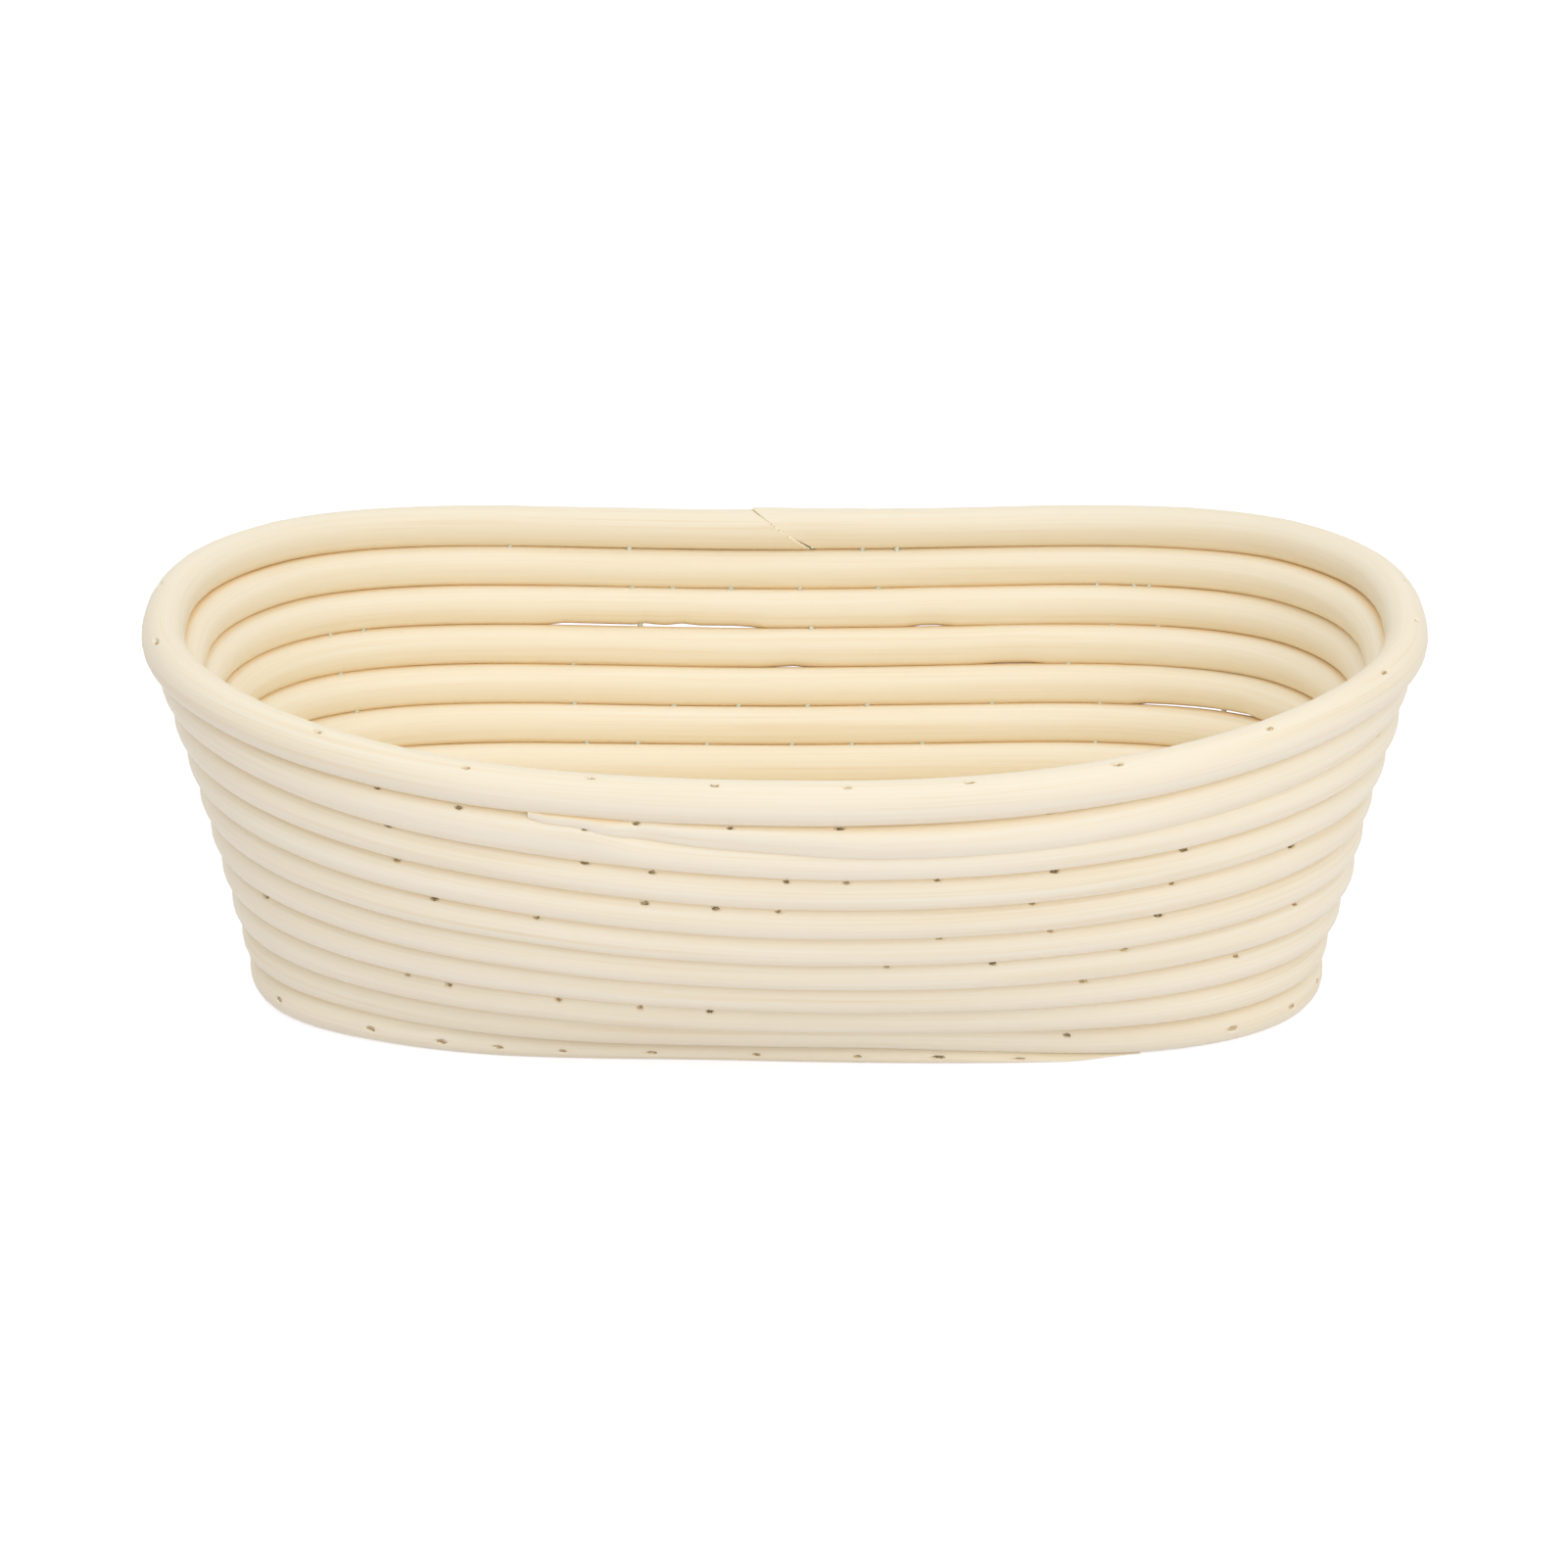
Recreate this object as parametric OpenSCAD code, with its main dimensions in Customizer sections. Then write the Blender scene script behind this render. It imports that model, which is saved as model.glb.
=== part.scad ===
// Oval proofing basket of coiled round cane: a flat coil for the base, one long coil for the
// leaning wall, a thicker ring for the rim, and thin steel brads that pin each turn to the next.
// Millimetres, +X along the length, +Z up, origin under the middle of the base.

/* [Basket] */
// Length over the rim
basket_l = 250; // [225:1:285]
// Width over the rim
basket_w = 162; // [140:1:180]
// Length over the bottom turn
foot_l = 214; // [190:1:235]
// Width over the bottom turn
foot_w = 90; // [76:1:108]

/* [Cane] */
// Diameter of the cane in the base and the wall
cane_d = 7.6; // [7:0.1:9]
// Diameter of the cane in the rim
rim_d = 7.9; // [7:0.1:10]
// Gap left between one turn and the next
turn_gap = 0.6; // [0.5:0.05:1]

/* [Wall] */
// Turns of cane between the ground and the rim
wall_turns = 9; // [9:1:12]
// How far the rim stands out past the top turn
rim_out = 2; // [0:0.1:4]
// Outward belly of the long sides, as a share of their lean
side_belly = 0.27; // [0:0.01:0.3]
// Outward belly of the two ends, below 0 where the ends flare
end_belly = -0.5; // [-0.6:0.05:0.3]
// Squareness of the oval at the ground, 2 is an ellipse
foot_square = 2.9; // [2.7:0.05:3.2]
// Squareness of the oval at the rim
rim_square = 2.36; // [2.1:0.02:2.8]
// Angle round from the right end at which a turn starts to climb
climb_from = 36; // [25:1:60]
// Angle at which a turn has climbed onto the one before
climb_to = 140; // [125:1:150]

/* [Rim joint] */
// Length of the slanting joint where the rim's two ends meet
scarf_l = 11.5; // [6:0.5:20]
// Gap between the two ends of the rim
scarf_gap = 0.5; // [0.45:0.05:1]

/* [Brads] */
// Diameter of a brad's shank
brad_d = 1.1; // [0.8:0.1:1.4]
// Length of a brad under its head
brad_l = 12.5; // [10:0.5:14]
// Length of a brad's flat head, along the cane
head_l = 2.2; // [1.4:0.1:3]
// Width of the head, across the cane
head_w = 1.1; // [1.1:0.1:1.6]
// Thickness of the head
head_t = 0.7; // [0.4:0.1:1]
// Brads in one turn of the wall, and in the rim
brads_per_turn = 22; // [12:1:28]

/* [Hidden] */

// Facets of the swept cane
cane_sides = 8;
rim_sides = 10;
rings_per_turn = 36;
rings_per_base_turn = 36;
rings_in_rim = 44;

// Spacing of turn centres, and half sizes of the centre lines
pitch = cane_d + turn_gap;
rim_pitch = (cane_d + rim_d) / 2 + turn_gap;
rim_a = (basket_l - rim_d) / 2;
rim_b = (basket_w - rim_d) / 2;
top_a = rim_a - rim_out;
top_b = rim_b - rim_out;
foot_a = (foot_l - cane_d) / 2;
foot_b = (foot_w - cane_d) / 2;
top_level = wall_turns - 1;

// The underside is worn flat by a tenth of the cane
foot_cut = cane_d / 10;
foot_z = cane_d / 2 - foot_cut;

// The base fills the bottom turn, less a clearance, with whole turns round a straight core
seat_gap = 0.5;
least_base_gap = 0.5;
base_turns = floor((foot_b - seat_gap) / (cane_d + least_base_gap));
base_pitch = (foot_b - seat_gap) / base_turns;
// Turns lie further apart at the ends, and their straight runs grow shorter outwards
end_spread = 1.38;
core_fade = 0.44;
end_pitch = base_pitch * end_spread;
core_half = foot_a - base_pitch - (base_turns - 1) * end_pitch;
left_spread = base_turns / (base_turns - 0.5);
// Share of the front that a turn runs straight before it moves out, and where the base cane ends
front_run = 0.7;
end_share = 0.6;

// Angles, clockwise from above and from the right end, at which the wall cane starts and ends
turn_step = 360 / rings_per_turn;
start_angle = 60;
tip_angle = 113;
tip_t = 0.12;
start_taper = 1.5;
tip_taper = 1.08;
tip_lift = 0.52;

// How a brad is driven: its head out from the top of the turn, its point leaning in
head_angle = 32;
lean_angle = 17;
head_proud = 0.2;
point_l = 1.5;
point_d = 0.3;
base_brads_per_turn = 9;
foot_pin_angle = 12;
first_pin_angle = 80;
last_pin_angle = 60;

function smooth(t) =
    let (c = min(1, max(0, t)))
    c * c * (3 - 2 * c);
function unit(v) = v / norm(v);
function bowed(t, belly) = t * (1 + belly * (1 - t));
function power(v, n) = pow(abs(v), n);

// One point of a squared oval, and the way out of it, at angle u anticlockwise from +X
function oval(a, b, n, u) =
    let (s = pow(power(cos(u), n) + power(sin(u), n), -1 / n))
    [a * s * cos(u), b * s * sin(u)];
function oval_out(a, b, n, u) =
    unit([sign(cos(u)) * power(cos(u), n - 1) / a, sign(sin(u)) * power(sin(u), n - 1) / b]);

// Half sizes and squareness of the wall at a level, 0 at the ground
function level_a(k) = foot_a + (top_a - foot_a) * bowed(k / top_level, end_belly);
function level_b(k) = foot_b + (top_b - foot_b) * bowed(k / top_level, side_belly);
function level_n(k) = foot_square + (rim_square - foot_square) * k / top_level;
function level_plan(k, u) = oval(level_a(k), level_b(k), level_n(k), u);
function level_out(k, u) = oval_out(level_a(k), level_b(k), level_n(k), u);

// A turn lies one pitch from the turn below, so what it leans out it loses in height
function reach(k, u) = (level_plan(k + 1, u) - level_plan(k, u)) * level_out(k, u);
function rise(k, u) = sqrt(pitch * pitch - pow(reach(k, u), 2));
function level_z(k, u) = k <= 0 ? foot_z : level_z(k - 1, u) + rise(k - 1, u);
function level_lean(k, u) =
    let (i = min(floor(k), top_level - 1))
    asin(reach(i, u) / pitch);
function level_point(k, u) =
    let (i = floor(k), p = level_plan(k, u))
    [p[0], p[1], level_z(i, u) + (k - i) * rise(i, u)];

// Share of the climb onto the next level at angle w clockwise from the right end
function climb(w) = smooth((w - climb_from) / (climb_to - climb_from));

// Size of the base's turn t, counted from the core: half width, straight half, length of its end
function base_b(t) = t * base_pitch;
function base_c(t) = core_half * (1 - core_fade * max(0, t - 1) / (base_turns - 1));
function base_e(t) =
    t <= 1 ? base_b(t) : core_half + base_pitch + (t - 1) * end_pitch - base_c(t);

// The base's centre line, s counting turns from the core: front, left end, back, right end
function base_at(s) =
    let (j = floor(s), q = (s - j) * 4, part = floor(q), f = q - part)
    let (t0 = j, t1 = (j + 0.5) * left_spread, t2 = j + 1)
    part == 0 ? [
        base_c(t0) - (base_c(t0) + base_c(t1)) * f,
        -base_b(t0) - (base_b(t1) - base_b(t0)) * smooth((f - front_run) / (1 - front_run)), foot_z
    ]
    : part == 1 ? [-base_c(t1) - base_e(t1) * sin(180 * f), -base_b(t1) * cos(180 * f), foot_z]
    : part == 2 ? [
        -base_c(t1) + (base_c(t1) + base_c(t2)) * f,
        base_b(t1) + (base_b(t2) - base_b(t1)) * smooth(f), foot_z
    ]
    : [base_c(t2) + base_e(t2) * sin(180 * f), base_b(t2) * cos(180 * f), foot_z];

// The wall's centre line at v degrees of winding: the first pass starts thin under the second,
// each later pass climbs one level across the front, and the last one thins out under the rim
function wall_thin(v) =
    let (pass = floor(v / 360), g = climb(v - 360 * pass))
    pass == 0 && v < 180 ? max(tip_t, pow(g, start_taper))
    : pass == wall_turns ? max(tip_t, 1 - tip_taper * g)
    : 1;
function wall_point(v) =
    let (pass = floor(v / 360), w = v - 360 * pass, u = -w)
    pass == 0 ?
        let (p = level_plan(0, u))
        [p[0], p[1], foot_z * wall_thin(v)]
    : pass <= top_level ? level_point(pass - 1 + climb(w), u)
    : let (top = level_point(top_level, u), under = level_point(top_level - 1, u))
        top + (top - under) * climb(w) * tip_lift;
function wall_lean(v) =
    let (pass = floor(v / 360), w = v - 360 * pass)
    pass == 0 ? wall_thin(v) * level_lean(0, -w) : level_lean(pass - 1 + climb(w), -w);

// The rim's centre line at angle w clockwise from the right end
function rim_step(u) =
    (oval(rim_a, rim_b, rim_square, u) - level_plan(top_level, u)) * level_out(top_level, u);
function rim_point(w) =
    let (p = oval(rim_a, rim_b, rim_square, -w), d = rim_step(-w))
    [p[0], p[1], level_z(top_level, -w) + sqrt(rim_pitch * rim_pitch - d * d)];
function rim_lean(w) = asin(rim_step(-w) / rim_pitch);

// Directions at a point of a cane: along it, out of the basket, and up the leaning wall
function out_of(along) = unit(cross([0, 0, 1], along));
function frame(along, lean) =
    let (o = out_of(along), up = cross(along, o))
    [along, o * cos(lean) - up * sin(lean), up * cos(lean) + o * sin(lean)];

// A ring of points round a cane, flat side up the wall, pressed flat on the ground
function ring(at, axes, d, sides, thin = 1, slant = 0) = [
    for (k = [0:sides - 1])
        let (
            a = 360 * (k + 0.5) / sides,
            r = d / 2 / cos(180 / sides),
            h = r * sin(a) * thin,
            p = at + axes[1] * r * cos(a) + axes[2] * h - axes[0] * slant * h
        )
        [p[0], p[1], max(p[2], 0)]
];

// Rings along the three canes
half_step = turn_step / 2;
wall_end = 360 * wall_turns + tip_angle;
function wall_axes(v) =
    frame(unit(wall_point(v + half_step) - wall_point(max(v - half_step, start_angle))), wall_lean(v));
wall_rings = [
    for (v = [start_angle:turn_step:wall_end])
        ring(wall_point(v), wall_axes(v), cane_d, cane_sides, wall_thin(v))
];

// The base ends along the front, beside the bottom turn
base_end = base_turns - 1 + end_share / 4;
base_steps = [
    for (i = [0:floor(base_end * rings_per_base_turn - 0.5)]) i / rings_per_base_turn,
    base_end
];
base_path = [for (s = base_steps) base_at(s)];
function base_axes(i) =
    let (last = len(base_path) - 1)
    frame(unit(base_path[min(i + 1, last)] - base_path[max(i - 1, 0)]), 0);
base_rings = [
    for (i = [0:len(base_path) - 1])
        ring(base_path[i], base_axes(i), cane_d, cane_sides)
];

// The rim runs from one side of the joint at the back round to the other
scarf_at = 270;
function rim_axes(w) = frame(unit(rim_point(w + 1) - rim_point(w - 1)), rim_lean(w));
mm_per_degree = norm(rim_point(scarf_at + 0.5) - rim_point(scarf_at - 0.5));
scarf_half = scarf_gap / 2 / mm_per_degree / sin(atan(rim_d / scarf_l));
scarf_slant = scarf_l / rim_d;
bend_in = scarf_l / mm_per_degree;
rim_angles = [
    scarf_at + scarf_half,
    for (i = [0:rings_in_rim]) scarf_at + bend_in + (360 - 2 * bend_in) * i / rings_in_rim,
    scarf_at + 360 - scarf_half
];
rim_rings = [
    for (i = [0:len(rim_angles) - 1])
        ring(rim_point(rim_angles[i]), rim_axes(rim_angles[i]), rim_d, rim_sides, 1,
            i == 0 || i == len(rim_angles) - 1 ? scarf_slant : 0)
];

// Least distance between the points of one turn and the next, printed as a check
function ring_gap(p, q) = min([for (a = p, b = q) norm(a - b)]);
function coil_gap(rings, per_turn) = min([
    for (i = [0:len(rings) - per_turn - 1], j = [-1:1])
        if (i + per_turn + j < len(rings)) ring_gap(rings[i], rings[i + per_turn + j])
]);
echo(wall_gap = coil_gap(wall_rings, rings_per_turn));
echo(base_gap = coil_gap(base_rings, rings_per_base_turn));
echo(rim_end_gap = ring_gap(rim_rings[0], rim_rings[len(rim_rings) - 1]));

// A closed tube through rings of points
module tube(rings) {
    n = len(rings[0]);
    last = (len(rings) - 1) * n;
    start_cap = [for (k = [1:n - 2]) [0, k, k + 1]];
    end_cap = [for (k = [1:n - 2]) [last, last + k + 1, last + k]];
    skin = [
        for (i = [0:len(rings) - 2], k = [0:n - 1])
            let (a = i * n + k, b = i * n + (k + 1) % n)
            each [[a, b + n, b], [a, a + n, b + n]]
    ];
    polyhedron([for (r = rings) each r], concat(start_cap, skin, end_cap));
}

// A T-headed brad, its head on the surface at a point and its shank straight in
module brad(at, along, out) {
    y = cross(out, along);
    multmatrix([
        [along[0], y[0], out[0], at[0]],
        [along[1], y[1], out[1], at[1]],
        [along[2], y[2], out[2], at[2]],
        [0, 0, 0, 1]
    ]) {
        translate([0, 0, head_proud - head_t / 2])
            cube([head_l, head_w, head_t], center = true);
        translate([0, 0, point_l - brad_l])
            cylinder(h = brad_l - point_l, d = brad_d, $fn = 16);
        translate([0, 0, -brad_l])
            cylinder(h = point_l, d1 = point_d, d2 = brad_d, $fn = 16);
    }
}

module base_coil() {
    color("burlywood") tube(base_rings);
}

module wall_coil() {
    color("wheat") tube(wall_rings);
}

module rim_ring() {
    color("moccasin") tube(rim_rings);
}

// Level brads from each turn of the base into the turn inside it, staggered turn by turn
module base_brads() {
    spacing = rings_per_base_turn / base_brads_per_turn;
    color("silver")
        for (turn = [1:base_turns - 2], i = [0:base_brads_per_turn - 1]) {
            k = round(turn * rings_per_base_turn + spacing * (i + (turn % 2) / 2));
            axes = base_axes(k);
            brad(base_path[k] + axes[1] * cane_d / 2, axes[0], axes[1]);
        }
}

// Level brads through the bottom turn into the base
module foot_brads() {
    color("silver")
        for (v = [climb_to - 2 * foot_pin_angle:foot_pin_angle:360 + climb_from]) {
            along = unit(wall_point(v + half_step) - wall_point(v - half_step));
            out = out_of(along);
            brad(wall_point(v) + out * cane_d / 2, along, out);
        }
}

// Brads from one pass of the wall cane down into the pass under it, staggered turn by turn
module turn_brads(pass, from = 0, to = 359) {
    spacing = 360 / brads_per_turn;
    color("silver")
        for (w = [from + spacing * (pass % 2) / 2:spacing:to]) {
            v = 360 * pass + w;
            axes = wall_axes(v);
            head = axes[2] * cos(head_angle) + axes[1] * sin(head_angle);
            out = axes[2] * cos(lean_angle) + axes[1] * sin(lean_angle);
            brad(wall_point(v) + head * cane_d / 2, axes[0], out);
        }
}

module turn_brads_1() turn_brads(1, first_pin_angle);
module turn_brads_2() turn_brads(2);
module turn_brads_3() turn_brads(3);
module turn_brads_4() turn_brads(4);
module turn_brads_5() turn_brads(5);
module turn_brads_6() turn_brads(6);
module turn_brads_7() turn_brads(7);

// The eighth row, with a row for each turn above it but the last
module turn_brads_8() {
    for (pass = [8:top_level])
        turn_brads(pass);
}

module turn_brads_top() turn_brads(wall_turns, 0, last_pin_angle);

// Brads from the top of the rim down into the top turn
module rim_brads() {
    color("silver")
        for (i = [0:brads_per_turn - 1]) {
            w = 360 * (i + 0.5) / brads_per_turn;
            axes = rim_axes(w);
            brad(rim_point(w) + axes[2] * rim_d / 2, axes[0], axes[2]);
        }
}

base_coil();
wall_coil();
rim_ring();
base_brads();
foot_brads();
turn_brads_1();
turn_brads_2();
turn_brads_3();
turn_brads_4();
turn_brads_5();
turn_brads_6();
turn_brads_7();
turn_brads_8();
turn_brads_top();
rim_brads();
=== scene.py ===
import math
import random

import bpy
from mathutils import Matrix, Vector


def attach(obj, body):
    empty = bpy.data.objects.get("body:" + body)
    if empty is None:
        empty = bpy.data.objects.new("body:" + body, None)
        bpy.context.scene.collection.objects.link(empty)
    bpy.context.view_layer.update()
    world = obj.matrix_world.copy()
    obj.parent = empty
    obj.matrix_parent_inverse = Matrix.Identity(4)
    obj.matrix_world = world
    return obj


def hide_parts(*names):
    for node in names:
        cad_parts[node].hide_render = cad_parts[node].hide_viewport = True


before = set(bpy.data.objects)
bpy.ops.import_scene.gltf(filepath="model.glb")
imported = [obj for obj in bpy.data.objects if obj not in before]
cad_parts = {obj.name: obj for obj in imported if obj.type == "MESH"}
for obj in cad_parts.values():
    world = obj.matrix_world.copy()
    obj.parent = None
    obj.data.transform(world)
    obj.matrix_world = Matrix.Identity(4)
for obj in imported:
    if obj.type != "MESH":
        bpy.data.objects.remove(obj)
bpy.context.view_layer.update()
mm = 0.001
dice = random.Random(7)  # a fixed seed, so every run winds the same basket
print("frame loaded")

# Centre lines of the coil in mm, turn by turn from the ground up
basketForm = {
    "rimHalfLength": 120.8,
    "rimHalfWidth": 76.8,
    "topHalfLength": 117.4,  # the turn under the rim
    "topHalfWidth": 75.2,
    "footHalfLength": 102.6,
    "footHalfWidth": 40.6,
    "rimSquareness": 2.36,  # power of the superellipse, 2 is an ellipse
    "footSquareness": 2.88,
    "endBelly": -0.3,  # bow of the wall, outward where positive
    "sideBelly": 0.275,
    "pitch": 8.17,
    "topLevel": 8,
    "footHeight": 3.9,
    # (place along the length, move towards the back)
    "backWaist": [
        (-112, 0), (-97, 1.4), (-81, 1.6), (-61, 0.7), (-41, -0.9), (-20, -2.2), (0, -2.5),
        (20, -2.0), (41, -0.8), (60, 0.8), (80, 1.7), (97, 1.6), (112, 0),
    ],
    "frontWaist": [
        (-114, 0), (-98, -0.2), (-78, 0.1), (-58, 0.7), (-39, 1.6), (-20, 1.8), (0, 1.5),
        (20, 1.0), (39, 0.5), (58, 0.1), (78, -0.2), (96, -0.3), (114, 0),
    ],
    "frontWaistFrom": 4.5,  # level
    "waistDepth": 25.0,
    "waistFullLevel": 3.0,
    # (level, move outward)
    "rightEnd": [
        (0, -0.1), (1, -0.8), (2, 0.3), (3, 1.0), (4, 0.7), (5, 0.4), (6, 0.6), (7, 0.7), (8, 0),
    ],
    "rightEndFrom": 70.0,
    "rightEndRun": 45.0,
    "dentPlace": (-84.0, -30.0),
    "dentMove": (2.0, 2.0),
    "dentSpread": 30.0,
    "dentLevels": 8.0,
    "dentLess": 1.6,  # the dent is shallower on the ground
    "dentLessLevels": 1.0,
    "swellPlace": (78.0, -33.0),
    "swellMove": (0.5, -1.7),
    "swellSpread": 28.0,
    "swellLevels": 2.0,
    "hollowPlace": (-22.0, -41.0),
    "hollowMove": (0.0, 1.6),
    "hollowSpread": 34.0,
    "hollowLevels": 1.5,
}


def ease(t):
    t = min(1.0, max(0.0, t))
    return t * t * (3 - 2 * t)


def curveAt(pairs, x):
    # smooth curve through (place, value) pairs, level at both ends
    if x <= pairs[0][0]:
        return pairs[0][1]
    if x >= pairs[-1][0]:
        return pairs[-1][1]
    i = max(k for k in range(len(pairs) - 1) if pairs[k][0] <= x)

    def slope(k):
        if k in (0, len(pairs) - 1):
            return 0.0
        return (pairs[k + 1][1] - pairs[k - 1][1]) / (pairs[k + 1][0] - pairs[k - 1][0])

    (x0, y0), (x1, y1) = pairs[i], pairs[i + 1]
    step = x1 - x0
    t = (x - x0) / step
    return (
        (2 * t**3 - 3 * t**2 + 1) * y0
        + (t**3 - 2 * t**2 + t) * step * slope(i)
        + (3 * t**2 - 2 * t**3) * y1
        + (t**3 - t**2) * step * slope(i + 1)
    )


def brokenLine(pairs, x):
    # straight runs through (place, value) pairs
    for (x0, y0), (x1, y1) in zip(pairs, pairs[1:]):
        if x <= x1:
            return y0 + (y1 - y0) * max(0.0, x - x0) / (x1 - x0)
    return pairs[-1][1]


def bowed(t, belly):
    return t * (1 + belly * (1 - t))


def ovalPoint(halfLength, halfWidth, squareness, angle):
    c, s = math.cos(angle), math.sin(angle)
    k = (abs(c) ** squareness + abs(s) ** squareness) ** (-1 / squareness)
    return Vector((halfLength * k * c, halfWidth * k * s, 0))


def ovalOutward(halfLength, halfWidth, squareness, angle):
    c, s = math.cos(angle), math.sin(angle)
    x = math.copysign(abs(c) ** (squareness - 1) / halfLength, c)
    y = math.copysign(abs(s) ** (squareness - 1) / halfWidth, s)
    return Vector((x, y, 0)).normalized()


def levelSize(level):
    f = basketForm
    t = level / f["topLevel"]
    longer, wider = f["topHalfLength"] - f["footHalfLength"], f["topHalfWidth"] - f["footHalfWidth"]
    length = f["footHalfLength"] + longer * bowed(t, f["endBelly"])
    width = f["footHalfWidth"] + wider * bowed(t, f["sideBelly"])
    return length, width, f["footSquareness"] + (f["rimSquareness"] - f["footSquareness"]) * t


def reachOut(level, angle):
    # how far a turn stands out past the one below it
    step = ovalPoint(*levelSize(level + 1), angle) - ovalPoint(*levelSize(level), angle)
    return step.dot(ovalOutward(*levelSize(level), angle))


def riseUp(level, angle):
    return math.sqrt(basketForm["pitch"] ** 2 - reachOut(level, angle) ** 2)


def nudged(p, level):
    # hand-wound unevenness: sides drawn in at their middle, an uneven right end,
    # and a foot pushed in at the front left and middle and out at the front right
    f = basketForm
    x = curveAt(f["rightEnd"], level) * ease((p.x - f["rightEndFrom"]) / f["rightEndRun"])
    p = p + Vector((x, 0, 0))
    if p.y > 0:
        high = min(1.0, level / f["waistFullLevel"])
        return p + Vector((0, curveAt(f["backWaist"], p.x) * ease(p.y / f["waistDepth"]) * high, 0))
    high = ease((level - f["frontWaistFrom"]) / (f["topLevel"] - f["frontWaistFrom"]))
    moved = Vector((0, curveAt(f["frontWaist"], p.x) * ease(-p.y / f["waistDepth"]) * high, 0))
    for kind in ("dent", "swell", "hollow"):
        place = f[kind + "Place"]
        far = ((p.x - place[0]) ** 2 + (p.y - place[1]) ** 2) / f[kind + "Spread"] ** 2
        move = Vector((*f[kind + "Move"], 0))
        if kind == "dent":
            move.y -= f["dentLess"] * max(0.0, 1 - level / f["dentLessLevels"])
        moved += move * max(0.0, 1 - level / f[kind + "Levels"]) * math.exp(-far)
    return p + moved


def levelPoint(level, angle):
    # each turn lies on the one below, so what it leans out it loses in height
    whole = math.floor(level)
    height = basketForm["footHeight"] + sum(riseUp(k, angle) for k in range(whole))
    if level > whole:
        height += (level - whole) * riseUp(whole, angle)
    return nudged(ovalPoint(*levelSize(level), angle), level) + Vector((0, 0, height))


def leanAt(level, angle):
    whole = min(math.floor(level), basketForm["topLevel"] - 1)
    return math.asin(reachOut(whole, angle) / basketForm["pitch"])


def caneAxes(along, lean):
    # along the cane, out of the basket, and up the leaning wall
    flat = Vector((-along.y, along.x, 0)).normalized()
    up = along.cross(flat)
    return along, flat * math.cos(lean) - up * math.sin(lean), up * math.cos(lean) + flat * math.sin(lean)


def lengthTable(centre, first, last, step):
    # (distance along a centre line, its own measure in degrees)
    count = math.ceil((last - first) / step)
    run, rows, before = 0.0, [], None
    for v in (first + (last - first) * i / count for i in range(count + 1)):
        p = centre(v)
        run += (p - before).length if before else 0.0
        rows.append((run, v))
        before = p
    return rows


def lookUp(rows, x, fromColumn, toColumn):
    low, high = 0, len(rows) - 1
    while high - low > 1:
        mid = (low + high) // 2
        if rows[mid][fromColumn] <= x:
            low = mid
        else:
            high = mid
    a, b = rows[low], rows[high]
    t = (x - a[fromColumn]) / (b[fromColumn] - a[fromColumn])
    return a[toColumn] + (b[toColumn] - a[toColumn]) * t


def degreesAt(rows, distance):
    return lookUp(rows, distance, 0, 1)


def distanceAt(rows, degrees):
    return lookUp(rows, degrees, 1, 0)


# Swept cane: rings of points, closer together round the brad holes; mm and degrees
caneMesh = {
    "ringGap": 3.5,
    "roundPoints": 21,
    "holeHalfSpan": 17.0,
    "holePoints": 13,
    "holeRings": (-2.2, -1.5, -1.2, -1.0, -0.8, -0.55, -0.3, 0.0, 0.3, 0.55, 0.8, 1.0, 1.2, 1.5, 2.2),
    "clearOfHoleRings": 1.2,
    "leastRingGap": 0.14,
    "tableStep": 0.5,
    "aimStep": 0.6,
    "openingFrom": 0.2,  # share of the half height below the middle
    # slow change of a natural cane's thickness: height, length over 2 pi, share of the cane's own shift
    "waves": ((0.05, 31, 1), (0.035, 13.7, 2.1), (0.02, 5.3, 1)),
}

# Torn slot over each brad head, in mm; (least, most) where it varies
bradHole = {
    "darkShare": 0.3,
    "halfLength": (0.9, 1.25),
    "halfWidth": (0.42, 0.6),
    "darkDepth": (1.1, 1.5),
    "paleDepth": (0.6, 0.95),
    "sunk": (0.9, 1.3),  # of the brad's head
    "lip": (0.02, 0.07),
    "lipReach": 2.4,  # square of the distance from the middle, where the slot's edge is 1
    "reach": 2.6,
    "tornFrom": 0.15,
}
faceMark = {"cane": 0, "sawn": 1, "torn": 2, "paleTorn": 3}  # places in a cane's list of materials


def ringOffsets():
    span, n = caneMesh["holeHalfSpan"], caneMesh["holePoints"]
    close = [-span + 2 * span * i / (n - 1) for i in range(n)]
    rest = caneMesh["roundPoints"]
    wide = [span + (360 - 2 * span) * (i + 1) / (rest + 1) for i in range(rest)]
    return [math.radians(a) for a in close + wide]


def ringPlaces(length, holes, extra):
    # distances along a cane at which it gets a ring of points
    count = max(2, round(length / caneMesh["ringGap"]))
    near = [h["at"] + d for h in holes for d in caneMesh["holeRings"]]
    near = [s for s in near if 0 < s < length] + list(extra)
    plain = [length * i / count for i in range(1, count)]
    kept = [0.0, length] + near
    kept += [s for s in plain if all(abs(s - n) > caneMesh["clearOfHoleRings"] for n in near)]
    places = []
    for s in sorted(kept):
        if not places or s - places[-1] > caneMesh["leastRingGap"]:
            places.append(s)
    places[-1] = length
    return places


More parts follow.
